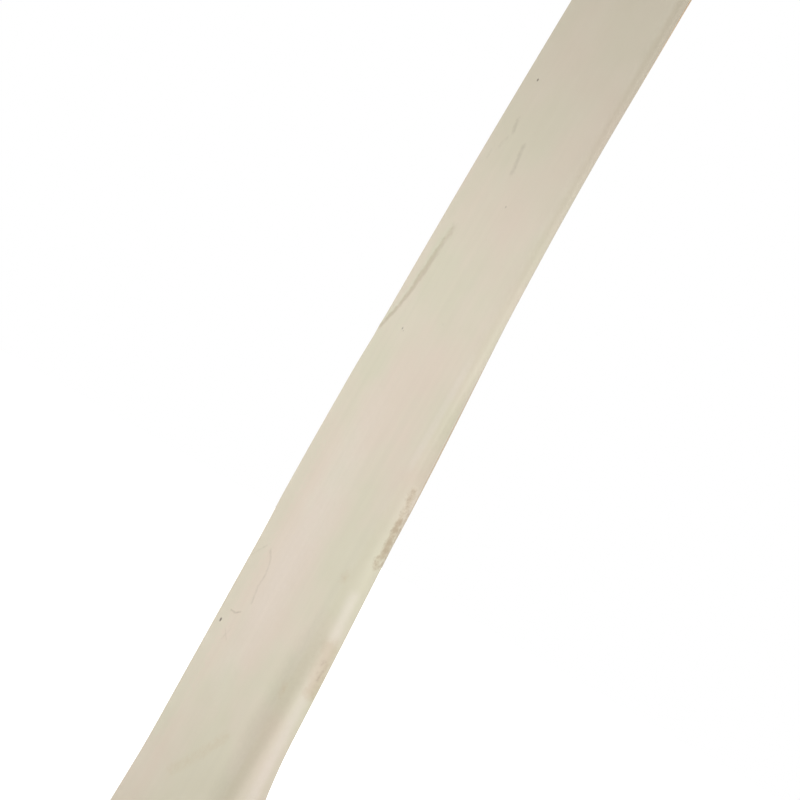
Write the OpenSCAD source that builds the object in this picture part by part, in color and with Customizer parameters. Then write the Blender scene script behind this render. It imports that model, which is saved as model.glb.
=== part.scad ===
// Cricket bat with a film-covered willow blade and a spliced, laminated cane handle.
// The origin is at the middle of the hand grip, on the handle's axis. +Z runs along the bat to the
// top of the handle, the striking face looks towards -Y and the spine of the back towards +Y.

/* [Lengths] */
// Length of the blade from the toe to the top of its shoulders
blade_l = 565; // [550:1:580]
// Length of the handle from the shoulders to the top of the grip
handle_l = 285; // [270:1:310]
// Length of bound handle left bare between the shoulders and the grip
bare_l = 37; // [25:1:60]

/* [Blade outline] */
// Width of the willow in its lower part
blade_w = 107; // [98:0.5:108]
// Width of the willow just below the shoulders
shoulder_w = 97; // [92:0.5:104]
// Height above the toe at which the blade starts to narrow
narrow_from = 225; // [120:5:300]
// Radius of the two corners at the toe
toe_r = 16; // [8:1:17]
// Height of the rounded shoulders
shoulder_h = 38; // [28:1:50]
// Willow left on each side of the handle at the top of the shoulders
shoulder_lip = 5; // [4:0.5:7]

/* [Blade depth] */
// Depth from face to spine at the toe
toe_d = 26; // [25:0.5:30]
// Depth from face to spine at the swell, where the blade is deepest
swell_d = 39; // [36:0.5:52]
// Height of the swell above the toe
swell_at = 190; // [150:5:240]
// Depth from face to spine between the swell and the shoulders, where the spine is lowest
spine_low_d = 31; // [29:0.5:34]
// Height above the toe at which the spine is down to that depth
spine_low_at = 390; // [360:5:440]
// Thickness of the edges in the lower blade
edge_low = 18.5; // [12:0.5:20]
// Thickness of the edges below the shoulders
edge_high = 6; // [5:0.5:9]
// Height above the toe up to which the edges keep their full thickness
edge_full_to = 10; // [0:5:120]
// Height above the toe at which the edges are down to their thin end
edge_thin_at = 410; // [380:5:480]
// How far the rounding of an edge reaches into the width
edge_round = 5; // [3:0.5:6]
// Crown of the face across its width
face_crown = 1.2; // [0.4:0.1:2]
// Bow of the face along its length
face_bow = 3; // [1:0.5:6]
// How far the face has spread forwards at the toe
face_spread = 1.5; // [0:0.5:3]
// Height above the toe at which the face starts to spread
face_spread_from = 56; // [30:1:80]
// How far the edges have spread backwards at the toe
edge_spread = 5; // [0:0.5:6]
// Height above the toe at which the edges start to spread
edge_spread_from = 92; // [70:1:120]

/* [Face film and toe guard] */
// Thickness of the film on the face
film_t = 0.5; // [0.3:0.1:1]
// Willow left bare between the film's upper end and the rounding of the shoulders
film_gap = 12; // [5:1:60]
// How far the film reaches onto the back, past each edge's rounding
film_wrap = 9; // [6:0.5:12]
// Thickness of the rubber guard round the toe
guard_t = 2; // [1.5:0.1:3]
// Height of the guard up the two edges
guard_h = 20; // [18:1:30]

/* [Handle] */
// Diameter of the bare cane handle
cane_d = 32; // [30:0.5:34]
// Length of the handle's splice inside the blade
splice_l = 150; // [120:1:170]
// Width of the splice at its blunt tip
splice_tip_w = 2; // [1:0.5:4]
// Thickness of each rubber spring between the cane slabs
spring_t = 1.5; // [1:0.1:2]
// Thickness of the twine binding
twine_t = 0.8; // [0.6:0.1:1.2]

/* [Grip] */
// Thickness of the grip's rubber
grip_t = 1.7; // [1.2:0.1:2.2]
// Length of the thicker hem at the grip's lower end
hem_l = 6; // [4:0.5:10]
// How far the hem stands out beyond the wall
hem_out = 0.6; // [0.4:0.1:0.6]
// Thickness of the lip that folds over the end of the handle
lip_t = 2; // [1.2:0.1:2.4]
// Radius of the opening in the lip
lip_hole_r = 11.5; // [9:0.5:13]
// Width of the tape band below the hem
tape_l = 10; // [6:0.5:15]
// Thickness of the tape band
tape_t = 0.5; // [0.3:0.1:0.8]

/* [Hidden] */
rows = 4;                       // cane slabs from front to back
cols = 3;                       // cane strips side by side in each slab

far = 200;                      // longer than any cut needs to be
cane_r = cane_d / 2;
slab_d = (cane_d - (rows - 1) * spring_t) / rows;
strip_w = cane_d / cols;
twine_r = cane_r + twine_t;
grip_r = twine_r + grip_t;

bat_l = blade_l + handle_l;
grip_wall_l = handle_l - bare_l - hem_l - lip_t;    // straight wall that the hands hold
cane_top_z = grip_wall_l / 2;                       // end of the canes, under the lip
toe_z = cane_top_z + lip_t - bat_l;
shoulder_z = toe_z + blade_l;                       // top of the blade
grip_low_z = -grip_wall_l / 2 - hem_l;
seam = 0.01;                    // overlap that joins a cane's round handle to its wedge
shoulder_s = blade_l - shoulder_h;      // height above the toe where the shoulders start
top_half_w = cane_r + shoulder_lip;
film_top = shoulder_s - film_gap;       // height above the toe at which the film ends

// Heights above the toe of the blade's cross-sections: even under the film, closer round the shoulders.
film_sections = 29;
shoulder_sections = 8;
film_heights = [for (i = [0:film_sections]) film_top * i / film_sections];
heights = concat(film_heights,
    [for (i = [0:shoulder_sections]) shoulder_s + shoulder_h * sin(90 * i / shoulder_sections)]);

core_x = cane_r + 0.5;          // half width of the stretch in which every section has the same x values
core_steps = 4;
flank_steps = 3;
edge_angles = [12, 32, 52, 71];     // points round each quarter of an edge's rounding
shoulder_blend = 20;            // length below the shoulders in which the crown and the hollow flanks run out
bow_skew = 1.25;                // above 1 moves the deepest point of the bow towards the handle
face_spread_end = 20;           // heights above the toe below which each spreading is complete
edge_spread_end = 40;
hollow_power = 1.35;            // above 1 hollows the back's flanks between the spine and the edges
spine_round = 0.12;             // rounding of the spine, as a share of the half width
dome_power = 2.6;               // roundness of the back where it meets the handle

function cane_name(row, col) = str("cane_", row, "_", col);
function spring_name(gap) = str("spring_", gap);
function reversed(list) = [for (i = [len(list) - 1:-1:0]) list[i]];

// Eased step from 0 at a to 1 at b.
function ease(v, a, b) = (1 - cos(180 * max(0, min(1, (v - a) / (b - a))))) / 2;

// ---- the blade's form, at a height s above the toe ----
function half_width(s) =
    s > shoulder_s
        ? top_half_w + (shoulder_w / 2 - top_half_w) * sqrt(max(0, 1 - pow((s - shoulder_s) / shoulder_h, 2)))
        : blade_w / 2 - (blade_w - shoulder_w) / 2 * max(0, (s - narrow_from) / (shoulder_s - narrow_from));
function forward_spread(s) = face_spread * (1 - ease(s, face_spread_end, face_spread_from));
function backward_spread(s) = edge_spread * (1 - ease(s, edge_spread_end, edge_spread_from));
function shoulder_share(s) = ease(s, shoulder_s - shoulder_blend, blade_l);
function edge_thick(s) =
    edge_low + (edge_high - edge_low) * ease(s, edge_full_to, edge_thin_at)
    + forward_spread(s) + backward_spread(s);
// The spine rises from the toe to the swell, falls to its low stretch and meets the handle's depth.
function spine_depth(s) =
    (s < swell_at
        ? toe_d + (swell_d - toe_d) * sin(90 * s / swell_at)
        : swell_d + (spine_low_d - swell_d) * ease(s, swell_at, spine_low_at)
            + (cane_d - spine_low_d) * shoulder_share(s)) + forward_spread(s);
function face_y(s) = -cane_r - face_bow * sin(180 * pow(s / blade_l, bow_skew)) - forward_spread(s);
function round_x(s) = min(edge_round, 0.4 * (half_width(s) - core_x));
function edge_x(s) = half_width(s) - round_x(s);
function wrap_x(s) = edge_x(s) - min(film_wrap, 0.3 * (edge_x(s) - core_x));

// The face is slightly crowned, and the crown runs out at the shoulders.
function face_point(x, s) =
    [x, face_y(s) - face_crown * (1 - shoulder_share(s)) * (1 - pow(x / edge_x(s), 2))];
// The back is a rounded spine with hollow flanks, and turns into a plain dome at the shoulders.
function rounded(u) = sqrt(u * u + spine_round * spine_round) - spine_round;
function flank(u) = pow(1 - rounded(u) / rounded(1), hollow_power);
function dome(u) = 1 - pow(u, dome_power);
function back_share(u, s) = (1 - shoulder_share(s)) * flank(u) + shoulder_share(s) * dome(u);
function back_point(x, s) =
    [x, face_y(s) + edge_thick(s)
        + (spine_depth(s) - edge_thick(s)) * back_share(min(1, abs(x) / edge_x(s)), s)];
// A point on the rounding of an edge: side is -1 or 1, and the angle runs from -90 (face) to 90 (back).
function edge_point(side, angle, s) =
    [side * (edge_x(s) + round_x(s) * cos(angle)), face_y(s) + edge_thick(s) / 2 * (1 + sin(angle))];

core_half = [for (i = [1:core_steps]) core_x * i / core_steps];
core_xs = concat(-1 * reversed(core_half), [0], core_half);
function flank_half(s) =
    concat([for (i = [1:flank_steps]) core_x + (wrap_x(s) - core_x) * i / flank_steps], [edge_x(s)]);
function section_xs(s) = concat(-1 * reversed(flank_half(s)), core_xs, flank_half(s));

function edge_path(side, face, s) = [for (a = edge_angles) edge_point(side, face * a, s)];
// Left to right across the face or the back, from the middle of one edge to the middle of the other.
function face_path(s) =
    concat(edge_path(-1, -1, s), [for (x = section_xs(s)) face_point(x, s)], reversed(edge_path(1, -1, s)));
function back_path(s) =
    concat(edge_path(-1, 1, s), [for (x = section_xs(s)) back_point(x, s)], reversed(edge_path(1, 1, s)));
function blade_ring(s) = concat(face_path(s), reversed(back_path(s)));

// The film's inside: from the back, round one edge, over the face and round the other edge.
function wrap_path(side, s) = concat([for (x = [wrap_x(s), edge_x(s)]) back_point(side * x, s)],
    reversed(edge_path(side, 1, s)));
function film_inside(s) = concat(wrap_path(-1, s), face_path(s), reversed(wrap_path(1, s)));
function normal_at(path, i) =
    let (d = path[min(i + 1, len(path) - 1)] - path[max(i - 1, 0)]) [d[1], -d[0]] / norm(d);
function film_ring(s) =
    let (inside = film_inside(s))
    concat([for (i = [0:len(inside) - 1]) inside[i] + film_t * normal_at(inside, i)], reversed(inside));

// Central stretch of the blade's section, between the face and a flat cut, or a flat cut and the back.
function front_core_ring(s) =
    concat([for (x = core_xs) face_point(x, s)], [for (x = reversed(core_xs)) [x, -cane_r + slab_d]]);
function back_core_ring(s) =
    concat([for (x = core_xs) [x, -cane_r + slab_d]], [for (x = reversed(core_xs)) back_point(x, s)]);

// ---- solids ----
// A closed solid through rings of points, each given as x and y at a height above the toe.
// The first half of a ring runs left to right and the second half comes back opposite it.
module loft(rings, at) {
    n = len(rings[0]);
    last = (len(rings) - 1) * n;
    points = [for (k = [0:len(rings) - 1]) for (p = rings[k]) [p[0], p[1], toe_z + at[k]]];
    sides = [for (k = [0:len(rings) - 2]) for (i = [0:n - 1])
        let (j = (i + 1) % n, a = k * n, b = a + n)
        each [[a + i, b + i, b + j], [a + i, b + j, a + j]]];
    ends = [for (i = [0:n / 2 - 2])
        let (j = n - 1 - i)
        each [[i, i + 1, j - 1], [i, j - 1, j],
              [last + i, last + j - 1, last + i + 1], [last + i, last + j, last + j - 1]]];
    polyhedron(points, concat(sides, ends), convexity = 4);
}

// A flat shape drawn in x and height above the toe, run through the bat from front to back.
module through() {
    translate([0, far / 2, toe_z]) rotate([90, 0, 0]) linear_extrude(far) children();
}

// The rounded foot of the blade up to a height, set in from the outer line by inset.
module toe_shape(inset, height) {
    flat = blade_w - 2 * toe_r;
    translate([-flat / 2, inset]) square([flat, height - inset]);
    translate([inset - blade_w / 2, toe_r]) square([blade_w - 2 * inset, height - toe_r]);
    for (side = [-1, 1]) translate([side * flat / 2, toe_r])
        intersection() {
            circle(r = toe_r - inset, $fn = 64);
            translate([-toe_r, -toe_r]) square([2 * toe_r, toe_r]);
        }
}

// Outline of the willow and of the film: inside the guard at the toe, free above it.
module covered_shape(height) {
    toe_shape(guard_t, guard_h);
    translate([-far / 2, guard_h]) square([far, height - guard_h]);
}

// Height above the toe at which the splice is twice half_w wide.
function splice_height_at(half_w) =
    blade_l - splice_l + splice_l * (half_w - splice_tip_w / 2) / (cane_r - splice_tip_w / 2);

// The V of the splice, from its blunt tip to the top of the blade.
module splice_shape() {
    polygon([[-splice_tip_w / 2, blade_l - splice_l], [splice_tip_w / 2, blade_l - splice_l],
        [cane_r, blade_l], [-cane_r, blade_l]]);
}

// One cane strip's share of the V: the middle strip runs to the tip, the outer two end as wedges.
module strip_shape(col) {
    half = strip_w / 2;
    if (col == 2)
        polygon([[-half, blade_l], [-half, splice_height_at(half)], [-splice_tip_w / 2, blade_l - splice_l],
            [splice_tip_w / 2, blade_l - splice_l], [half, splice_height_at(half)], [half, blade_l]]);
    else
        scale([col - 2, 1])
            polygon([[half, blade_l], [half, splice_height_at(half)], [cane_r, blade_l]]);
}

function slab_y(row) = -cane_r + (row - 1) * (slab_d + spring_t);

// A block over the whole bat between two depths.
module depth_block(low_y, high_y) {
    translate([-far / 2, low_y, toe_z]) cube([far, high_y - low_y, bat_l]);
}

module handle_rod() {
    translate([0, 0, shoulder_z - seam])
        cylinder(r = cane_r, h = cane_top_z - shoulder_z + seam, $fn = 96);
}

splice_heights = [for (i = [0:len(heights) - 1])
    if (heights[min(i + 1, len(heights) - 1)] > blade_l - splice_l) heights[i]];

module front_core() {
    loft([for (s = splice_heights) front_core_ring(s)], splice_heights);
}

module back_core() {
    loft([for (s = splice_heights) back_core_ring(s)], splice_heights);
}

// ---- the pieces ----
module blade() {
    color("BurlyWood")
    difference() {
        intersection() {
            loft([for (s = heights) blade_ring(s)], heights);
            through() covered_shape(blade_l + 1);
        }
        through() splice_shape();
    }
}

module face_film() {
    color("Cornsilk")
    difference() {
        loft([for (s = film_heights) film_ring(s)], film_heights);
        through() difference() {
            translate([-far / 2, -1]) square([far, guard_h + 1]);
            toe_shape(guard_t, guard_h + 1);
        }
    }
}

module toe_guard() {
    guard_heights = [for (i = [0:len(heights) - 1]) if (heights[max(i - 1, 0)] < guard_h) heights[i]];
    color("DimGray")
    intersection() {
        loft([for (s = guard_heights) blade_ring(s)], guard_heights);
        through() difference() {
            toe_shape(0, guard_h);
            toe_shape(guard_t, guard_h + 1);
        }
    }
}

// One cane: its strip of the round handle, and its wedge of the splice flush with the blade.
module cane(row, col) {
    low_x = (col - 1 - cols / 2) * strip_w;
    low_y = slab_y(row);
    spare_low_x = col == 1 ? 2 : 0;      // the outer strips and slabs end at the round of the handle
    spare_high_x = col == cols ? 2 : 0;
    spare_low_y = row == 1 ? 2 : 0;
    spare_high_y = row == rows ? 2 : 0;
    color("Peru")
    union() {
        intersection() {
            handle_rod();
            translate([low_x - spare_low_x, low_y - spare_low_y, shoulder_z - 1])
                cube([strip_w + spare_low_x + spare_high_x, slab_d + spare_low_y + spare_high_y, bat_l]);
        }
        if (row == 1)
            intersection() {
                front_core();
                through() strip_shape(col);
            }
        else if (row == 2 || row < rows && col == 2)
            intersection() {
                depth_block(low_y, low_y + slab_d);
                through() strip_shape(col);
            }
        else
            intersection() {
                back_core();
                through() strip_shape(col);
                depth_block(low_y, row == rows ? far / 2 : low_y + slab_d);
            }
    }
}

// One rubber sheet between two slabs, from the end of the handle to the tip of the splice.
module spring(gap) {
    low_y = slab_y(gap) + slab_d;
    color("SaddleBrown")
    intersection() {
        depth_block(low_y, low_y + spring_t);
        union() {
            handle_rod();
            if (gap == 1)
                through() splice_shape();
            else
                intersection() {
                    back_core();
                    through() splice_shape();
                }
        }
    }
}

module twine() {
    color("Gainsboro")
    translate([0, 0, shoulder_z])
        difference() {
            cylinder(r = twine_r, h = cane_top_z - shoulder_z, $fn = 96);
            translate([0, 0, -1]) cylinder(r = cane_r, h = cane_top_z - shoulder_z + 2, $fn = 96);
        }
}

module rounded_bar(x, z, width, height, r) {
    translate([x, z + r]) square([width, height - 2 * r]);
    translate([x, z]) square([width - r, height]);
    for (end = [z + r, z + height - r]) translate([x + width - r, end]) circle(r = r, $fn = 32);
}

// Rubber sleeve: straight wall, rounded hem below, and a lip over the end of the canes.
module grip() {
    hem_edge_r = 0.8;
    color("SteelBlue")
    rotate_extrude($fn = 96) {
        translate([twine_r, grip_low_z]) square([grip_t, cane_top_z - grip_low_z]);
        rounded_bar(twine_r, grip_low_z, grip_t + hem_out, hem_l, hem_edge_r);
        translate([lip_hole_r, cane_top_z]) square([grip_r - lip_t - lip_hole_r, lip_t]);
        intersection() {
            translate([grip_r - lip_t, cane_top_z]) circle(r = lip_t, $fn = 48);
            translate([grip_r - lip_t, cane_top_z]) square(lip_t);
        }
    }
}

module grip_tape() {
    color("White")
    translate([0, 0, grip_low_z - tape_l])
        difference() {
            cylinder(r = twine_r + tape_t, h = tape_l, $fn = 96);
            translate([0, 0, -1]) cylinder(r = twine_r, h = tape_l + 2, $fn = 96);
        }
}

blade();
face_film();
toe_guard();
for (row = [1:rows], col = [1:cols]) cane(row, col);
for (gap = [1:rows - 1]) spring(gap);
twine();
grip();
grip_tape();
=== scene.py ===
import math

import bmesh
import bpy
from mathutils import Matrix, Vector

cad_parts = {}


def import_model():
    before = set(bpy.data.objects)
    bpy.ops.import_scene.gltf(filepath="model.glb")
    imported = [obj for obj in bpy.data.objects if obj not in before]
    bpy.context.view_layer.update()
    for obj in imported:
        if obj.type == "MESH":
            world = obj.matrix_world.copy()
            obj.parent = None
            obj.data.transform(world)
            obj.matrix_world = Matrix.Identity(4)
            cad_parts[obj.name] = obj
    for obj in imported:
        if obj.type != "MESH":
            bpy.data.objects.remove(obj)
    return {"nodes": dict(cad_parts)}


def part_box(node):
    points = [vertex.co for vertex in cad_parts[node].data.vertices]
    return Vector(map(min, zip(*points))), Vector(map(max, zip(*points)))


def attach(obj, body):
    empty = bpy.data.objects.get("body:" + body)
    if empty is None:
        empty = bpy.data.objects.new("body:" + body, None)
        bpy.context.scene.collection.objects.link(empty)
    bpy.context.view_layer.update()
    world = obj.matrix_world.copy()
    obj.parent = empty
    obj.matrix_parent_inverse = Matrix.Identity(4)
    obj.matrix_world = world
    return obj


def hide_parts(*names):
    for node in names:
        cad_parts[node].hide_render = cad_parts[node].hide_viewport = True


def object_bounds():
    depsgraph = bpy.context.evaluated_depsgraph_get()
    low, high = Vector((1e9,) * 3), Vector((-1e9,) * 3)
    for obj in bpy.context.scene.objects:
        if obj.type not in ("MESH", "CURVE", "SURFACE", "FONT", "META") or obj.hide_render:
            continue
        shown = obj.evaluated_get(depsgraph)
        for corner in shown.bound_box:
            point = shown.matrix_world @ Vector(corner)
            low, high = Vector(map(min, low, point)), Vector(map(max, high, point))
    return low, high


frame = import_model()
cad_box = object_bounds()

MM = 0.001
BODY = "root"

toe_z = cad_box[0].z
film_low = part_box("face_film")[0]
grip_low, grip_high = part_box("grip")
tape_low, tape_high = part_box("grip_tape")
twine_low, twine_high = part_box("twine")
twine_r = twine_high.x
hem_r = grip_high.x


def height(mm):
    """Level of a point mm above the toe."""
    return toe_z + mm * MM


def ease(value, start, end):
    """Smooth step from 0 at start to 1 at end; start may be the greater."""
    t = max(0.0, min(1.0, (value - start) / (end - start)))
    return t * t * (3 - 2 * t)


def grains(mm):
    """The noise scale that makes a pattern's grains about this many mm across."""
    return 1 / (mm * MM)


# ---------------------------------------------------------------- materials


def colour(hex_code):
    """sRGB hex to linear."""
    parts = [int(hex_code[i:i + 2], 16) / 255 for i in (1, 3, 5)]
    return [c / 12.92 if c <= 0.04045 else ((c + 0.055) / 1.055) ** 2.4 for c in parts] + [1.0]


def node(tree, kind, inputs=None, stops=(), **settings):
    """Adds a shader node with its settings and a ramp's stops, and links or sets its inputs."""
    made = tree.nodes.new("ShaderNode" + kind)
    for name, value in settings.items():
        setattr(made, name, value)
    for name, value in (inputs or {}).items():
        if isinstance(value, bpy.types.NodeSocket):
            tree.links.new(value, made.inputs[name])
        else:
            made.inputs[name].default_value = value
    if stops:
        elements = made.color_ramp.elements
        while len(elements) < len(stops):
            elements.new(0.5)
        for element, (position, hex_code) in zip(elements, stops):
            element.position = position
            element.color = colour(hex_code)
    return made


def new_material(name):
    """An empty material, its tree, its shader, and the object coordinates that its patterns read."""
    material = bpy.data.materials.new(name)
    material.use_nodes = True
    tree = material.node_tree
    tree.nodes.clear()
    shader = node(tree, "BsdfPrincipled")
    node(tree, "OutputMaterial", {"Surface": shader.outputs[0]})
    place = node(tree, "TexCoord").outputs["Object"]
    return material, tree, shader, place


# What has happened to the film, with painted shade and highlights among it, in the order it is laid over:
# the mesh's layer, the range over which it comes in, how ragged the noise makes its outline, its strongest
# share and its colour.
FILM_MARKS = [
    # The first layer is painted shade beside the rolled edge and along the back of the edge, with a little
    # dirt on the edge; the third is wear where the ball is struck, with painted highlights along the rolled
    # edge and the corner.
    ("soil_and_shade", 0.0, 1.0, 0.15, 0.31, "#a29a80"),
    ("lifted", 0.1, 0.9, 0.60, 0.30, "#cdd0b5"),
    ("rubbed_and_highlight", 0.0, 1.0, 0.15, 0.40, "#eee3dc"),
    ("oil", 0.1, 1.0, 0.35, 0.28, "#bea179"),
    ("fold", 0.1, 1.0, 0.50, 0.36, "#a08b6e"),
    ("stain", 0.05, 1.05, 0.80, 0.38, "#8a6f50"),
    ("scratch", 0.1, 1.0, 0.35, 0.34, "#7d7059"),
    ("pit", 0.2, 0.7, 0.20, 0.85, "#4c3c2a"),
]


def film_material():
    # Clear-coated polyurethane sheet, cream with age: satin, faintly mottled in patches of 7 cm where the
    # glue holds better or worse, with a ghost of the willow's 4 mm grain and a peel of 2.4 mm. It is darker
    # and greyer towards the handle and, less, towards the toe.
    material, tree, shader, place = new_material("polyurethane_film")
    patches = node(tree, "TexNoise", {"Vector": place, "Scale": grains(66.7), "Detail": 3.0,
                                      "Roughness": 0.55})
    tint = node(tree, "ValToRGB", {0: patches.outputs["Fac"]},
                stops=[(0.38, "#d6d0b9"), (0.5, "#dad0bc"), (0.62, "#dccebc")])
    stretched = node(tree, "Mapping", {"Vector": place, "Scale": (grains(4.17), grains(4.17), grains(111))})
    ghost = node(tree, "TexNoise", {"Vector": stretched.outputs[0], "Scale": 1.0, "Detail": 4.0})
    ghost_tone = node(tree, "MapRange", {"Value": ghost.outputs["Fac"], "From Min": 0.3, "From Max": 0.7,
                                         "To Min": 0.982, "To Max": 1.008})
    grained = node(tree, "Mix", {0: 1.0, 6: tint.outputs[0], 7: ghost_tone.outputs[0]},
                   data_type="RGBA", blend_type="MULTIPLY")
    along = node(tree, "SeparateXYZ", {0: place})
    to_handle = node(tree, "MapRange", {"Value": along.outputs["Z"], "From Min": height(290),
                                        "From Max": height(510), "To Max": 0.8},
                     interpolation_type="SMOOTHSTEP")
    to_toe = node(tree, "MapRange", {"Value": along.outputs["Z"], "From Min": height(150),
                                     "From Max": height(20), "To Max": 0.3},
                  interpolation_type="SMOOTHSTEP")
    darkening = node(tree, "Math", {0: to_handle.outputs[0], 1: to_toe.outputs[0]}, operation="ADD")
    tone = node(tree, "Mix", {0: darkening.outputs[0], 6: grained.outputs[2], 7: colour("#b9af9b")},
                data_type="RGBA")
    ragged = node(tree, "TexNoise", {"Vector": place, "Scale": grains(2.38), "Detail": 5.0,
                                     "Roughness": 0.65})
    around_zero = node(tree, "Math", {0: ragged.outputs["Fac"], 1: 0.5}, operation="SUBTRACT")
    for layer, start, end, raggedness, share, hex_code in FILM_MARKS:
        strength = node(tree, "Attribute", attribute_name=layer)
        present = node(tree, "Math", {0: strength.outputs["Fac"], 1: 4.0}, operation="MULTIPLY",
                       use_clamp=True)
        torn = node(tree, "Math", {0: around_zero.outputs[0], 1: 3 * raggedness,
                                   2: strength.outputs["Fac"]}, operation="MULTIPLY_ADD")
        amount = node(tree, "MapRange", {"Value": torn.outputs[0], "From Min": start, "From Max": end,
                                         "To Max": share}, interpolation_type="SMOOTHSTEP")
        kept = node(tree, "Math", {0: amount.outputs[0], 1: present.outputs[0]}, operation="MULTIPLY")
        tone = node(tree, "Mix", {0: kept.outputs[0], 6: tone.outputs[2], 7: colour(hex_code)},
                    data_type="RGBA")
    tree.links.new(tone.outputs[2], shader.inputs["Base Color"])
    scuffs = node(tree, "TexNoise", {"Vector": place, "Scale": grains(22.2), "Detail": 5.0,
                                     "Roughness": 0.65})
    gloss = node(tree, "MapRange", {"Value": scuffs.outputs["Fac"], "From Min": 0.3, "From Max": 0.7,
                                    "To Min": 0.5, "To Max": 0.66})
    tree.links.new(gloss.outputs[0], shader.inputs["Roughness"])
    peel = node(tree, "TexNoise", {"Vector": place, "Scale": grains(2.38), "Detail": 2.0})
    skin = node(tree, "Bump", {"Height": peel.outputs["Fac"], "Strength": 0.12, "Distance": 0.15 * MM})
    fibre = node(tree, "Bump", {"Height": ghost.outputs["Fac"], "Strength": 0.25, "Distance": 0.1 * MM,
                                "Normal": skin.outputs[0]})
    tree.links.new(fibre.outputs[0], shader.inputs["Normal"])
    shader.inputs["IOR"].default_value = 1.5
    return material


def willow_material():
    # Pressed and oiled willow: pale honey, straight growth rings about 8.5 mm apart that run the length of
    # the blade, fibres of 0.7 mm between them, and grey along the spine, where the bat is laid down.
    material, tree, shader, place = new_material("oiled_willow")
    wander = node(tree, "Mapping", {"Vector": place, "Scale": (grains(45.5), grains(45.5), grains(385))})
    drift = node(tree, "TexNoise", {"Vector": wander.outputs[0], "Scale": 1.0, "Detail": 2.0})
    axes = node(tree, "SeparateXYZ", {0: place})
    across = node(tree, "Math", {0: drift.outputs["Fac"], 1: 20 * MM, 2: axes.outputs["X"]},
                  operation="MULTIPLY_ADD")
    ring_count = node(tree, "Math", {0: across.outputs[0], 1: 8.5 * MM}, operation="DIVIDE")
    ring = node(tree, "Math", {0: ring_count.outputs[0]}, operation="FRACT")
    rings = node(tree, "ValToRGB", {0: ring.outputs[0]},
                 stops=[(0.0, "#dcc69d"), (0.55, "#d8c095"), (0.86, "#ceb285"), (0.96, "#c2a273"),
                        (1.0, "#dcc69d")])
    fine = node(tree, "Mapping", {"Vector": place, "Scale": (grains(0.667), grains(0.667), grains(38.5))})
    fibre = node(tree, "TexNoise", {"Vector": fine.outputs[0], "Scale": 1.0, "Detail": 3.0})
    fibre_tone = node(tree, "MapRange", {"Value": fibre.outputs["Fac"], "From Min": 0.3, "From Max": 0.7,
                                         "To Min": 0.91, "To Max": 1.03})
    grained = node(tree, "Mix", {0: 1.0, 6: rings.outputs[0], 7: fibre_tone.outputs[0]},
                   data_type="RGBA", blend_type="MULTIPLY")
    stains = node(tree, "TexNoise", {"Vector": place, "Scale": grains(111), "Detail": 4.0,
                                     "Roughness": 0.6})
    darkening = node(tree, "MapRange", {"Value": stains.outputs["Fac"], "From Min": 0.52, "From Max": 0.8,
                                     "To Max": 0.4})
    aged = node(tree, "Mix", {0: darkening.outputs[0], 6: grained.outputs[2], 7: colour("#b08f62")},
                data_type="RGBA")
    from_spine = node(tree, "Math", {0: axes.outputs["X"]}, operation="ABSOLUTE")
    rubbed_and_highlight = node(tree, "MapRange", {"Value": from_spine.outputs[0], "From Min": 30 * MM,
                                     "From Max": 4 * MM, "To Max": 0.7}, interpolation_type="SMOOTHSTEP")
    patchy = node(tree, "Math", {0: rubbed_and_highlight.outputs[0], 1: drift.outputs["Fac"]}, operation="MULTIPLY")
    final = node(tree, "Mix", {0: patchy.outputs[0], 6: aged.outputs[2], 7: colour("#a2947f")},
                 data_type="RGBA")
    tree.links.new(final.outputs[2], shader.inputs["Base Color"])
    gloss = node(tree, "MapRange", {"Value": fibre.outputs["Fac"], "To Min": 0.38, "To Max": 0.56})
    tree.links.new(gloss.outputs[0], shader.inputs["Roughness"])
    grain = node(tree, "Bump", {"Height": fibre.outputs["Fac"], "Strength": 0.4, "Distance": 0.1 * MM})
    tree.links.new(grain.outputs[0], shader.inputs["Normal"])
    shader.inputs["IOR"].default_value = 1.5
    return material


def cane_material():
    # Sarawak cane: straw brown, packed with dark fibre bundles about 0.5 mm thick and 3 cm long, which
    # show as dots on the cut ends.
    material, tree, shader, place = new_material("split_cane")
    stretched = node(tree, "Mapping", {"Vector": place,
                                       "Scale": (grains(0.526), grains(0.526), grains(31.25))})
    bundles = node(tree, "TexNoise", {"Vector": stretched.outputs[0], "Scale": 1.0, "Detail": 2.0})
    tone = node(tree, "ValToRGB", {0: bundles.outputs["Fac"]},
                stops=[(0.3, "#8f683e"), (0.46, "#bd935b"), (0.7, "#d3ac73")])
    tree.links.new(tone.outputs[0], shader.inputs["Base Color"])
    grain = node(tree, "Bump", {"Height": bundles.outputs["Fac"], "Strength": 0.4, "Distance": 0.12 * MM})
    tree.links.new(grain.outputs[0], shader.inputs["Normal"])
    shader.inputs["Roughness"].default_value = 0.5
    return material


def sheet_rubber_material():
    # Red-brown natural rubber sheet, sanded flush with the cane: dull, with a faint grit of 0.4 mm.
    material, tree, shader, place = new_material("sheet_rubber")
    grit = node(tree, "TexNoise", {"Vector": place, "Scale": grains(0.417), "Detail": 2.0})
    tone = node(tree, "ValToRGB", {0: grit.outputs["Fac"]}, stops=[(0.35, "#4f2417"), (0.65, "#6b3524")])
    tree.links.new(tone.outputs[0], shader.inputs["Base Color"])
    grain = node(tree, "Bump", {"Height": grit.outputs["Fac"], "Strength": 0.3, "Distance": 0.1 * MM})
    tree.links.new(grain.outputs[0], shader.inputs["Normal"])
    shader.inputs["Roughness"].default_value = 0.75
    return material


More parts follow.
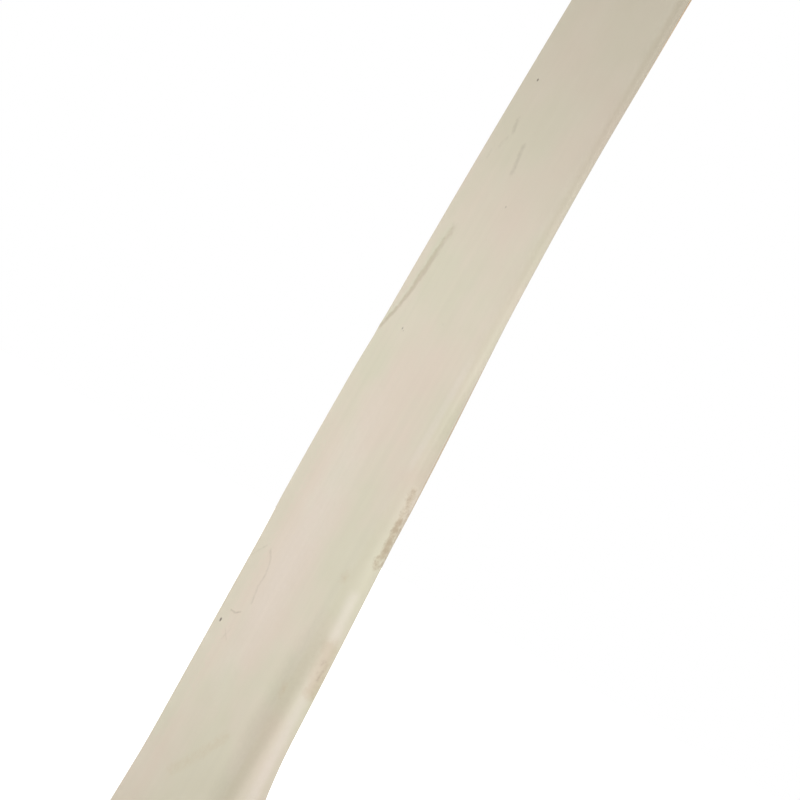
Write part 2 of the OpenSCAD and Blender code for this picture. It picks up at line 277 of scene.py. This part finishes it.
def guard_material():
    # Black moulded rubber, greyed by the ground: dull, with scuffs 2 mm wide that run along the toe.
    material, tree, shader, place = new_material("moulded_rubber")
    stretched = node(tree, "Mapping", {"Vector": place, "Scale": (grains(16.7), grains(2), grains(2))})
    scuffs = node(tree, "TexNoise", {"Vector": stretched.outputs[0], "Scale": 1.0, "Detail": 4.0})
    tone = node(tree, "ValToRGB", {0: scuffs.outputs["Fac"]},
                stops=[(0.35, "#242220"), (0.6, "#35322e"), (0.78, "#6a6459")])
    tree.links.new(tone.outputs[0], shader.inputs["Base Color"])
    grain = node(tree, "Bump", {"Height": scuffs.outputs["Fac"], "Strength": 0.5, "Distance": 0.2 * MM})
    tree.links.new(grain.outputs[0], shader.inputs["Normal"])
    shader.inputs["Roughness"].default_value = 0.7
    return material


def twine_material():
    # Waxed linen twine: plied strands about 0.6 mm wide slant across each turn, 180 of them round the
    # handle and 1.5 mm apart up it, darker where two turns meet, which is painted shade.
    material, tree, shader, place = new_material("waxed_linen_twine")
    axes = node(tree, "SeparateXYZ", {0: place})
    angle = node(tree, "Math", {0: axes.outputs["Y"], 1: axes.outputs["X"]}, operation="ARCTAN2")
    strands_round = 180.0
    strand_rise = 1.496 * MM
    round_way = node(tree, "Math", {0: angle.outputs[0], 1: strands_round}, operation="MULTIPLY")
    strand_phase = node(tree, "Math", {0: axes.outputs["Z"], 1: 2 * math.pi / strand_rise,
                                       2: round_way.outputs[0]}, operation="MULTIPLY_ADD")
    strands = node(tree, "Math", {0: strand_phase.outputs[0]}, operation="SINE")
    fuzz = node(tree, "TexNoise", {"Vector": place, "Scale": grains(3.85), "Detail": 4.0})
    tone = node(tree, "ValToRGB", {0: fuzz.outputs["Fac"]},
                stops=[(0.3, "#b29a6f"), (0.5, "#c8b185"), (0.7, "#d8c59b")])
    shade = node(tree, "MapRange", {"Value": strands.outputs[0], "From Min": -1.0, "To Min": 0.92,
                                    "To Max": 1.03})
    plied = node(tree, "Mix", {0: 1.0, 6: tone.outputs[0], 7: shade.outputs[0]},
                 data_type="RGBA", blend_type="MULTIPLY")
    # The colour is darker where two turns meet: painted shade.
    between = node(tree, "Attribute", attribute_name="shade_between_turns")
    final = node(tree, "Mix", {0: between.outputs["Fac"], 6: plied.outputs[2], 7: colour("#6f5b3a")},
                 data_type="RGBA")
    tree.links.new(final.outputs[2], shader.inputs["Base Color"])
    twist = node(tree, "Bump", {"Height": strands.outputs[0], "Strength": 0.4, "Distance": 0.06 * MM})
    tree.links.new(twist.outputs[0], shader.inputs["Normal"])
    shader.inputs["Roughness"].default_value = 0.6
    return material


def grip_material():
    # Moulded rubber grip, dark blue: soft sheen, a moulded grain of 0.6 mm, and darker in the grooves,
    # which is painted shade.
    material, tree, shader, place = new_material("moulded_grip_rubber")
    rub = node(tree, "TexNoise", {"Vector": place, "Scale": grains(26.3), "Detail": 4.0, "Roughness": 0.6})
    tone = node(tree, "ValToRGB", {0: rub.outputs["Fac"]},
                stops=[(0.32, "#222d45"), (0.52, "#2b3853"), (0.75, "#404d69")])
    # The grooves' darker colour is painted shade.
    groove = node(tree, "Attribute", attribute_name="groove")
    final = node(tree, "Mix", {0: groove.outputs["Fac"], 6: tone.outputs[0], 7: colour("#161e2f")},
                 data_type="RGBA")
    tree.links.new(final.outputs[2], shader.inputs["Base Color"])
    grain = node(tree, "TexNoise", {"Vector": place, "Scale": grains(0.556), "Detail": 2.0})
    skin = node(tree, "Bump", {"Height": grain.outputs["Fac"], "Strength": 0.35, "Distance": 0.08 * MM})
    tree.links.new(skin.outputs[0], shader.inputs["Normal"])
    shader.inputs["Roughness"].default_value = 0.52
    return material


def tape_material():
    # White cotton tape: plain weave of threads about 0.6 mm apart, greyed where it has been handled.
    material, tree, shader, place = new_material("cotton_tape")
    axes = node(tree, "SeparateXYZ", {0: place})
    angle = node(tree, "Math", {0: axes.outputs["Y"], 1: axes.outputs["X"]}, operation="ARCTAN2")
    threads_round = 180.0
    thread_pitch = 0.6 * MM
    warp_phase = node(tree, "Math", {0: angle.outputs[0], 1: threads_round}, operation="MULTIPLY")
    weft_phase = node(tree, "Math", {0: axes.outputs["Z"], 1: 2 * math.pi / thread_pitch},
                      operation="MULTIPLY")
    warp = node(tree, "Math", {0: warp_phase.outputs[0]}, operation="SINE")
    weft = node(tree, "Math", {0: weft_phase.outputs[0]}, operation="SINE")
    weave = node(tree, "Math", {0: warp.outputs[0], 1: weft.outputs[0]}, operation="MULTIPLY")
    grime_and_shade = node(tree, "TexNoise", {"Vector": place, "Scale": grains(11.1), "Detail": 4.0})
    tone = node(tree, "ValToRGB", {0: grime_and_shade.outputs["Fac"]}, stops=[(0.3, "#bfb8a7"), (0.7, "#e2ded2")])
    thread_tone = node(tree, "MapRange", {"Value": weave.outputs[0], "From Min": -1.0, "To Min": 0.86,
                                          "To Max": 1.0})
    final = node(tree, "Mix", {0: 1.0, 6: tone.outputs[0], 7: thread_tone.outputs[0]},
                 data_type="RGBA", blend_type="MULTIPLY")
    tree.links.new(final.outputs[2], shader.inputs["Base Color"])
    thread = node(tree, "Bump", {"Height": weave.outputs[0], "Strength": 0.6, "Distance": 0.1 * MM})
    tree.links.new(thread.outputs[0], shader.inputs["Normal"])
    shader.inputs["Roughness"].default_value = 0.85
    return material


# ---------------------------------------------------------------- making a piece


def piece_from(work, name, material, slot, *nodes):
    """Makes a bmesh a piece that stands for CAD nodes and rides on the bat."""
    mesh = bpy.data.meshes.new(name)
    work.to_mesh(mesh)
    work.free()
    made = bpy.data.objects.new(name, mesh)
    bpy.context.scene.collection.objects.link(made)
    mesh.materials.append(material)
    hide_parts(*nodes)
    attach(made, BODY)
    return made


def merged(node_name):
    """The CAD node's triangles as one connected mesh, with pairs in one plane joined."""
    work = bmesh.new()
    work.from_mesh(frame["nodes"][node_name].data)
    bmesh.ops.remove_doubles(work, verts=work.verts, dist=0.001 * MM)
    bmesh.ops.join_triangles(work, faces=work.faces, angle_face_threshold=math.radians(20),
                             angle_shape_threshold=math.radians(50))
    return work


def smooth_shading(work, sharp_angle):
    """Smooth faces, with sharp edges past an angle in degrees."""
    for face in work.faces:
        face.smooth = True
    for edge in work.edges:
        edge.smooth = len(edge.link_faces) == 2 and edge.calc_face_angle(0) < math.radians(sharp_angle)


def keep_creases(work, sharp_angle):
    """Lets a subdivision round off all edges but those past an angle in degrees."""
    crease = work.edges.layers.float.new("crease_edge")
    for edge in work.edges:
        if edge.calc_face_angle(0) > math.radians(sharp_angle):
            edge[crease] = 1.0


def subdivide(made):
    """Rounds a piece's facets off, up to its creases."""
    smoothing = made.modifiers.new("smoothing", "SUBSURF")
    smoothing.levels = smoothing.render_levels = 2
    return smoothing


def subdivided(made):
    """The piece's subdivided mesh, with no modifier left on the piece."""
    smoothing = subdivide(made)
    evaluated = made.evaluated_get(bpy.context.evaluated_depsgraph_get())
    work = bmesh.new()
    work.from_mesh(evaluated.to_mesh())
    evaluated.to_mesh_clear()
    made.modifiers.remove(smoothing)
    return work


def rounded_edges(made, width, sharp_angle=40):
    """Rounds a piece's sharp edges to a width in mm."""
    rounding = made.modifiers.new("rounding", "BEVEL")
    rounding.width = width * MM
    rounding.segments = 2
    rounding.limit_method = "ANGLE"
    rounding.angle_limit = math.radians(sharp_angle)
    rounding.harden_normals = True


# ---------------------------------------------------------------- the film's marks


# Marks on the film's face. A line's points are in mm, across from the middle and up from the toe. A dent
# or a scratch is its width in mm, its depth against 1 and its line; a spot is its point, its radius and
# its depth.
FOLD = [(-31, 346), (-33, 337), (-35, 322), (-37, 311), (-40.5, 301), (-47.5, 289)]
FOLD_RIDGE = [(x - 2.5, z) for x, z in FOLD]
CRESCENT = [(-31, 168), (-25, 164), (-22, 157), (-23, 150), (-20, 142)]
DENTS = [
    (2.2, 0.5, CRESCENT),
    (4.0, 0.55, [(-29, 408), (-27, 402)]),
    (4.0, 0.35, [(-29, 399), (-32, 393)]),
    (4.5, 0.60, [(-9, 397), (-7, 391), (-5, 384)]),
    (3.0, 0.35, [(-38, 392), (-38, 386)]),
]
SCRATCHES = [
    (1.1, 0.5, [(-37, 169), (-47, 161)]),
    (1.1, 0.8, [(-37, 133), (-31, 133), (-26, 135)]),
    (1.1, 0.5, [(-32, 124), (-25, 120)]),
    (1.1, 0.4, [(-30, 119), (-26, 126)]),
    (1.1, 0.25, [(8, 305), (13, 303)]),
]
PITS = [(-32.6, 430, 1.7, 0.8), (7, 367, 1.6, 0.55), (7, 349, 1.3, 0.4), (-24, 293, 1.7, 0.6),
        (-22, 292, 1.3, 0.5), (-42, 126, 2.0, 1.0)]
OIL_STREAKS = [(8, 0.55, [(24, 83), (13, 72), (4, 64), (-9, 53)])]
OIL_SPOTS = [(50, 119, 9, 0.7), (48, 178, 7, 0.7)]
# Where the ball is struck: its middle and its half width and half height in mm.
STRUCK_MIDDLE = (-6, 180)
STRUCK_HALF = (38, 150)

# Marks on the right edge: the same, with a line's points back from the handle's axis and up from the toe.
EDGE_STAINS = [
    (4, 0.60, [(-12.4, 229), (-11.6, 223)]),
    (4, 0.55, [(-11.4, 223), (-10.8, 215)]),
    (4, 0.85, [(-10.8, 214), (-10.0, 205)]),
    (4, 0.90, [(-9.8, 203), (-9.4, 196)]),
    (4, 0.65, [(-10.4, 194), (-10.0, 190)]),
    (4, 0.90, [(-6.8, 218), (-5.6, 192)]),
    (4, 0.30, [(-8.0, 138), (-6.0, 130)]),
    (4, 0.25, [(-6.0, 130), (-5.0, 122)]),
]
EDGE_RUBS = [(9, 1.0, [(-9, 146), (-6, 124)])]
# A painted highlight along the rolled edge near the toe, given the same way.
EDGE_ROLL_HIGHLIGHTS = [(6, 1.0, [(-12, 172), (-10, 150), (-8, 118), (-7, 95), (-5, 60)])]

# How far each kind of mark stands out of the film, or goes into it, in mm.
RELIEF = {"ridge": 0.2, "fold": -0.12, "loose edge": 0.5, "scratch": -0.15, "pit": -0.2, "stain": -0.15}


def distance_to(line, a, b):
    """Distance of the point a, b from a line of points."""
    best = math.inf
    for (a0, b0), (a1, b1) in zip(line, line[1:]):
        da, db = a1 - a0, b1 - b0
        t = max(0.0, min(1.0, ((a - a0) * da + (b - b0) * db) / (da * da + db * db)))
        best = min(best, math.hypot(a - a0 - t * da, b - b0 - t * db))
    return best


def near(distance, width):
    """1 at no distance and 0 at the width, with round shoulders."""
    return ease(distance, width, 0)


def strongest(marks, a, b):
    """Depth at the point a, b of the deepest of the marks, each a width, a depth and a line."""
    return max(depth * near(distance_to(line, a, b), width) for width, depth, line in marks)


def strongest_spot(spots, a, b):
    """The same for spots, each a point, a radius and a depth."""
    return max(depth * near(math.hypot(a - spot_a, b - spot_b), radius)
               for spot_a, spot_b, radius, depth in spots)


def face_marks(x, z):
    """Relief in mm and the strength of each kind of mark on the face, at x and z in mm."""
    from_fold = distance_to(FOLD, x, z)
    from_ridge = distance_to(FOLD_RIDGE, x, z)
    fold_width = 3.0 + 3.0 * ease(z, 300, 335)
    fold_depth = 1 - 0.3 * ease(z, 322, 345)
    # Painted shade lies beside the rolled right edge, and along the left one the film has let go of the
    # willow.
    shade_beside_roll = ease(x, 28, 51) * ease(z, 185, 120)
    loose_edge = ease(x, -30, -48) * ease(z, 165, 200) * ease(z, 290, 262)
    lifted = ease(x, -22, -46) * ease(z, 40, 80) * ease(z, 250, 210) + 0.8 * near(from_ridge, 5)
    across_struck = (x - STRUCK_MIDDLE[0]) / STRUCK_HALF[0]
    up_struck = (z - STRUCK_MIDDLE[1]) / STRUCK_HALF[1]
    struck = near(math.hypot(across_struck, up_struck), 1)
    scratch = strongest(DENTS + SCRATCHES, x, z)
    pit = strongest_spot(PITS, x, z)
    relief = RELIEF["ridge"] * near(from_ridge, 2.6) + RELIEF["fold"] * near(from_fold, 2.0)
    relief += RELIEF["loose edge"] * loose_edge + RELIEF["scratch"] * scratch + RELIEF["pit"] * pit
    return relief, {"soil_and_shade": 0.75 * shade_beside_roll, "lifted": min(1, lifted), "rubbed_and_highlight": 0.5 * struck,
                    "oil": max(strongest(OIL_STREAKS, x, z), strongest_spot(OIL_SPOTS, x, z)),
                    "fold": fold_depth * near(from_fold, fold_width), "scratch": scratch, "pit": pit}


def edge_marks(y, z):
    """The same on the right edge, at y and z in mm."""
    stain = strongest(EDGE_STAINS, y, z)
    rub = strongest(EDGE_RUBS, y, z)
    # Below, the roll's light is painted highlight, and the darker band along the back of the edge high up
    # and the strip beside the roll low down are painted shade; the rub is dirt.
    roll_highlight = strongest(EDGE_ROLL_HIGHLIGHTS, y, z)
    grime_and_shade = ease(z, 215, 240) * ease(z, 300, 270) * ease(y, -16.5, -14)
    shade_beside_roll = ease(y, -9, -15) * ease(z, 185, 120)
    return RELIEF["stain"] * stain, {"soil_and_shade": min(1, 0.6 * grime_and_shade + 0.8 * shade_beside_roll + 0.45 * rub),
                                     "rubbed_and_highlight": 0.65 * roll_highlight, "oil": max(stain, rub), "stain": stain}


def corner_highlight(x, z, facing_right):
    """Strength of the painted highlight along the corner of the face and the right edge, at x and z in mm.
    """
    return 0.45 * ease(x, 46, 50) * ease(facing_right, 0.95, 0.6) * ease(z, 225, 245) * ease(z, 310, 285)


def near_mark(point):
    """Whether the mesh has to be fine here: close to a mark of the face or a stain of the edge."""
    x, y, z = point.x / MM, point.y / MM, (point.z - toe_z) / MM
    if y < -15 and abs(x) < 51:
        lines = [FOLD] + [line for width, depth, line in DENTS + SCRATCHES]
        reach = [distance_to(line, x, z) for line in lines]
        reach += [math.hypot(x - pit_x, z - pit_z) for pit_x, pit_z, radius, depth in PITS]
        return min(reach) < 3.5
    return x > 50 and min(distance_to(line, y, z) for width, depth, line in EDGE_STAINS) < 6


def refine_near_marks(work, size):
    """Halves the edges near a mark that are longer than size, up to four times."""
    for _ in range(4):
        long_edges = [e for e in work.edges
                      if e.calc_length() > size and near_mark((e.verts[0].co + e.verts[1].co) / 2)]
        bmesh.ops.subdivide_edges(work, edges=long_edges, cuts=1, use_grid_fill=True)
        bmesh.ops.triangulate(work, faces=[f for f in work.faces if len(f.verts) > 4])


def mark(vert, layers):
    """Presses the marks into one point of the film's outside and sets their strengths there."""
    x, y, z = vert.co.x / MM, vert.co.y / MM, (vert.co.z - toe_z) / MM
    on_edge = ease(vert.normal.x, 0.35, 0.85)
    relief = 0.0
    if on_edge < 1 and vert.normal.y < 0.2:
        relief, strengths = face_marks(x, z)
        relief *= 1 - on_edge
        for layer, strength in strengths.items():
            vert[layers[layer]] = strength * (1 - on_edge)
    if on_edge > 0:
        edge_relief, strengths = edge_marks(y, z)
        relief += edge_relief * on_edge
        for layer, strength in strengths.items():
            vert[layers[layer]] += strength * on_edge
    # The lighter stripe along the corner of the face and the edge is painted highlight.
    vert[layers["rubbed_and_highlight"]] = max(vert[layers["rubbed_and_highlight"]], corner_highlight(x, z, vert.normal.x))
    vert.co += vert.normal * relief * MM
    vert.co.x = max(cad_box[0].x, min(cad_box[1].x, vert.co.x))


def face_film():
    """The film over the face and the edges, with its marks in it."""
    work = merged("face_film")
    keep_creases(work, 50)
    film = piece_from(work, "film", film_material(), "film", "face_film")
    dense = subdivided(film)
    refine_near_marks(dense, 0.6 * MM)
    dense.normal_update()
    layers = {row[0]: dense.verts.layers.float.new(row[0]) for row in FILM_MARKS}
    inside_y = film_low.y + 10 * MM
    for vert in dense.verts:
        outward = Vector((vert.co.x, vert.co.y - inside_y, 0))
        if vert.normal.dot(outward) > 0:
            mark(vert, layers)
    smooth_shading(dense, 40)
    dense.to_mesh(film.data)
    dense.free()


# ---------------------------------------------------------------- blade, handle and grip


def willow_blade():
    work = merged("blade")
    keep_creases(work, 32)
    smooth_shading(work, 32)
    subdivide(piece_from(work, "willow", willow_material(), "willow", "blade"))


def toe_guard():
    work = merged("toe_guard")
    smooth_shading(work, 32)
    rounded_edges(piece_from(work, "guard", guard_material(), "guard_rubber", "toe_guard"), 0.5)


def canes_and_springs():
    """Each strip of cane and each rubber spring as a piece of its own."""
    finishes = {"cane": (cane_material(), "cane"), "spring": (sheet_rubber_material(), "spring_rubber")}
    for name in sorted(frame["nodes"]):
        kind = name.split("_")[0]
        if kind in finishes:
            work = merged(name)
            smooth_shading(work, 25)
            material, slot = finishes[kind]
            rounded_edges(piece_from(work, name.replace("_", "-"), material, slot, name), 0.25)


def spun(profile, steps):
    """A closed solid: the profile's points, each a radius and a level, spun round the handle's axis."""
    work = bmesh.new()
    ring = [work.verts.new((r, 0, z)) for r, z in profile]
    edges = [work.edges.new(pair) for pair in zip(ring, ring[1:] + ring[:1])]
    bmesh.ops.spin(work, geom=ring + edges, cent=(0, 0, 0), axis=(0, 0, 1), angle=2 * math.pi,
                   steps=steps, use_merge=True)
    bmesh.ops.remove_doubles(work, verts=work.verts, dist=0.001 * MM)
    bmesh.ops.recalc_face_normals(work, faces=work.faces)
    return work


def levels(low, high, step):
    """Even levels from low to high, about a step apart."""
    count = max(1, round((high - low) / step))
    return [low + (high - low) * i / count for i in range(count + 1)]


def arc(centre_r, centre_z, radius, start, end, steps):
    """Points of an arc in a profile, between two angles in degrees."""
    angles = [math.radians(start + (end - start) * i / steps) for i in range(steps + 1)]
    return [(centre_r + radius * math.cos(a), centre_z + radius * math.sin(a)) for a in angles]


def sink(vert, depth):
    """Moves a vertex towards the handle's axis."""
    r = math.hypot(vert.co.x, vert.co.y)
    vert.co.x *= (r - depth) / r
    vert.co.y *= (r - depth) / r


def twine_binding():
    """Close turns of twine where it shows, and a plain sleeve under the tape and the grip."""
    pitch, depth = 1.1 * MM, 0.42 * MM
    inner_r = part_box("cane_2_3")[1].x
    bound_to = tape_low.z + 2 * pitch
    outer = [(twine_r, z) for z in levels(twine_low.z, bound_to, pitch / 8)]
    profile = [(inner_r, twine_low.z), *outer, (twine_r, twine_high.z), (inner_r, twine_high.z)]
    work = spun(profile, steps=112)
    between = work.verts.layers.float.new("shade_between_turns")
    for vert in work.verts:
        if math.hypot(vert.co.x, vert.co.y) > inner_r + depth and vert.co.z < bound_to:
            turn = vert.co.z / pitch - math.atan2(vert.co.y, vert.co.x) / (2 * math.pi)
            gap = 1 - abs(math.sin(math.pi * turn)) ** 0.7
            # Where two turns meet the twine sinks, and its colour gets painted shade.
            vert[between] = 0.8 * ease(gap, 0.3, 1)
            sink(vert, depth * gap)
    smooth_shading(work, 70)
    piece_from(work, "twine_turns", twine_material(), "twine", "twine")


RIB_ZIGZAGS = 8
RIB_PITCH = 6.5 * MM
RIB_RISE = 7 * MM


def rib_slant(vert):
    """How far below a zigzag's peak the ribs run here."""
    angle = math.atan2(vert.co.y, vert.co.x)
    return RIB_RISE * abs(angle / (2 * math.pi) * RIB_ZIGZAGS % 1.0 - 0.5) * 2


def grip_groove(vert):
    """0 on the grip's chevron ribs and 1 in the grooves between them; both ends of the grip are plain."""
    plain, fading = 12 * MM, 2 * MM
    rib_side, groove_side = 0.46, 0.16
    room = min(vert.co.z - (grip_low.z + plain), (grip_high.z - plain) - vert.co.z)
    place = abs((vert.co.z + rib_slant(vert)) / RIB_PITCH % 1.0 - 0.5) * 2
    return ease(room, 0, fading) * ease(place, rib_side, groove_side)


def rubber_grip():
    """The grip: a rolled hem, a wall with chevron ribs and a lip over the end of the canes."""
    wall_r, hole_r, hole_round = 18.5 * MM, 11.5 * MM, 0.6 * MM
    lip, hem, hem_round = 2.0 * MM, 6.0 * MM, 0.8 * MM
    low, high = grip_low.z, grip_high.z
    cane_end = twine_high.z
    profile = [(twine_r, low)]
    profile += arc(hem_r - hem_round, low + hem_round, hem_round, -90, 0, 5)
    profile += arc(hem_r - hem_round, low + hem - hem_round, hem_round, 0, 80, 5)
    profile += [(wall_r, z) for z in levels(low + hem + 0.3 * MM, high - lip - 1 * MM, RIB_PITCH / 10)]
    profile += arc(wall_r - lip, high - lip, lip, 0, 90, 6)
    profile += arc(hole_r + hole_round, high - hole_round, hole_round, 90, 180, 3)
    profile += [(hole_r, cane_end), (twine_r, cane_end)]
    work = spun(profile, steps=160)
    groove_layer = work.verts.layers.float.new("groove")
    depth = 0.55 * MM
    for vert in work.verts:
        if abs(math.hypot(vert.co.x, vert.co.y) - wall_r) < 0.01 * MM:
            # The rings of vertices are bent to the zigzag, so that the grooves' edges follow them.
            from_end = min(vert.co.z - low - hem, high - lip - vert.co.z)
            vert.co.z -= rib_slant(vert) * ease(from_end, 1 * MM, 16 * MM)
            groove = grip_groove(vert)
            vert[groove_layer] = groove
            sink(vert, depth * groove)
    smooth_shading(work, 50)
    piece_from(work, "chevron_grip", grip_material(), "grip_rubber", "grip")


def tape_band():
    """Two overlapping turns of tape, so that the lower turn's edge shows as a low step."""
    low, high, outer_r = tape_low.z, tape_high.z, tape_high.x
    step = 0.18 * MM
    overlap = low + 0.42 * (high - low)
    rings = [(outer_r - step, z) for z in levels(low, overlap, 0.5 * MM)]
    rings += [(outer_r, z) for z in levels(overlap + 0.1 * MM, high, 0.5 * MM)]
    work = spun([(twine_r, low), *rings, (twine_r, high)], steps=96)
    smooth_shading(work, 50)
    piece_from(work, "tape_turns", tape_material(), "tape", "grip_tape")


face_film()
willow_blade()
toe_guard()
canes_and_springs()
twine_binding()
rubber_grip()
tape_band()


# ---------------------------------------------------------------- floor, light and camera


def seen_plainly(tree):
    """1 for the rays of the camera, of a gloss and of a clear piece, and 0 for those that carry light."""
    path = node(tree, "LightPath")
    glossy = node(tree, "Math", {0: path.outputs["Is Camera Ray"], 1: path.outputs["Is Glossy Ray"]},
                  operation="ADD")
    return node(tree, "Math", {0: glossy.outputs[0], 1: path.outputs["Is Transmission Ray"]},
                operation="ADD", use_clamp=True).outputs[0]


def floor():
    """White card that is seen as white: what is added grows outwards, so the shadow stays at the toe."""
    work = bmesh.new()
    bmesh.ops.create_circle(work, cap_ends=True, segments=96, radius=4.0,
                            matrix=Matrix.Translation((0, 0, toe_z)))
    mesh = bpy.data.meshes.new("floor")
    work.to_mesh(mesh)
    work.free()
    made = bpy.data.objects.new("floor", mesh)
    bpy.context.scene.collection.objects.link(made)
    material = bpy.data.materials.new("matt_white_card")
    material.use_nodes = True
    tree = material.node_tree
    tree.nodes.clear()
    place = node(tree, "TexCoord").outputs["Object"]
    flat = node(tree, "VectorMath", {0: place, 1: (1, 1, 0)}, operation="MULTIPLY")
    out = node(tree, "VectorMath", {0: flat.outputs[0]}, operation="LENGTH")
    added = node(tree, "MapRange", {"Value": out.outputs["Value"], "From Min": 0.05, "From Max": 0.35,
                                    "To Min": 0.45}, interpolation_type="SMOOTHSTEP")
    strength = node(tree, "Math", {0: seen_plainly(tree), 1: added.outputs[0]}, operation="MULTIPLY")
    white = node(tree, "Emission", {"Color": (1, 1, 1, 1), "Strength": strength.outputs[0]})
    card = node(tree, "BsdfDiffuse", {"Color": colour("#fbfbfa")})
    surface = node(tree, "AddShader", {0: card.outputs[0], 1: white.outputs[0]})
    node(tree, "OutputMaterial", {"Surface": surface.outputs[0]})
    mesh.materials.append(material)


def world():
    made = bpy.data.worlds.new("studio")
    bpy.context.scene.world = made
    made.use_nodes = True
    tree = made.node_tree
    tree.nodes.clear()
    soft = node(tree, "Background", {"Color": (1, 1, 1, 1), "Strength": 0.55})
    white = node(tree, "Background", {"Color": (1, 1, 1, 1), "Strength": 1.0})
    surface = node(tree, "MixShader", {0: seen_plainly(tree), 1: soft.outputs[0], 2: white.outputs[0]})
    node(tree, "OutputWorld", {"Surface": surface.outputs[0]})


def area_lamp(name, azimuth, elevation, level, distance, size, watts):
    """A square lamp that looks at the bat at a level in mm, from a distance in metres and an azimuth that
    is 0 in front of the face."""
    a, e = math.radians(azimuth), math.radians(elevation)
    away = Vector((math.sin(a) * math.cos(e), -math.cos(a) * math.cos(e), math.sin(e)))
    data = bpy.data.lights.new(name, "AREA")
    data.size = size
    data.energy = watts
    lamp = bpy.data.objects.new(name, data)
    lamp.location = Vector((0, 0, height(level))) + away * distance
    lamp.rotation_mode = "QUATERNION"
    lamp.rotation_quaternion = away.to_track_quat("Z", "Y")
    bpy.context.scene.collection.objects.link(lamp)


def camera():
    """Looks level at the blade, far round to its right edge, and leans so that the bat slants."""
    azimuth, elevation, lean = math.radians(62.5), math.radians(0.335), math.radians(29.87)
    distance = 1800 * MM
    back = Vector((math.sin(azimuth) * math.cos(elevation), -math.cos(azimuth) * math.cos(elevation),
                   math.sin(elevation)))
    right = (-back).cross(Vector((0, 0, 1))).normalized()
    face_y = -16 * MM
    aim = Vector((0, face_y, height(262.4))) + right * 1.3 * MM
    data = bpy.data.cameras.new("camera")
    data.sensor_width = 36
    data.lens = 169.614
    data.clip_start, data.clip_end = 0.05, 20
    made = bpy.data.objects.new("camera", data)
    made.location = aim + back * distance
    made.rotation_mode = "QUATERNION"
    upright = (-back).to_track_quat("-Z", "Y")
    made.rotation_quaternion = upright @ Matrix.Rotation(lean, 4, "Z").to_quaternion()
    bpy.context.scene.collection.objects.link(made)
    bpy.context.scene.camera = made


floor()
world()
area_lamp("front_softbox", azimuth=-25, elevation=12, level=300, distance=1.8, size=1.1, watts=11.4)
area_lamp("side_softbox", azimuth=98, elevation=4, level=180, distance=1.0, size=0.5, watts=3.5)
camera()
bpy.context.scene.view_settings.view_transform = "Standard"
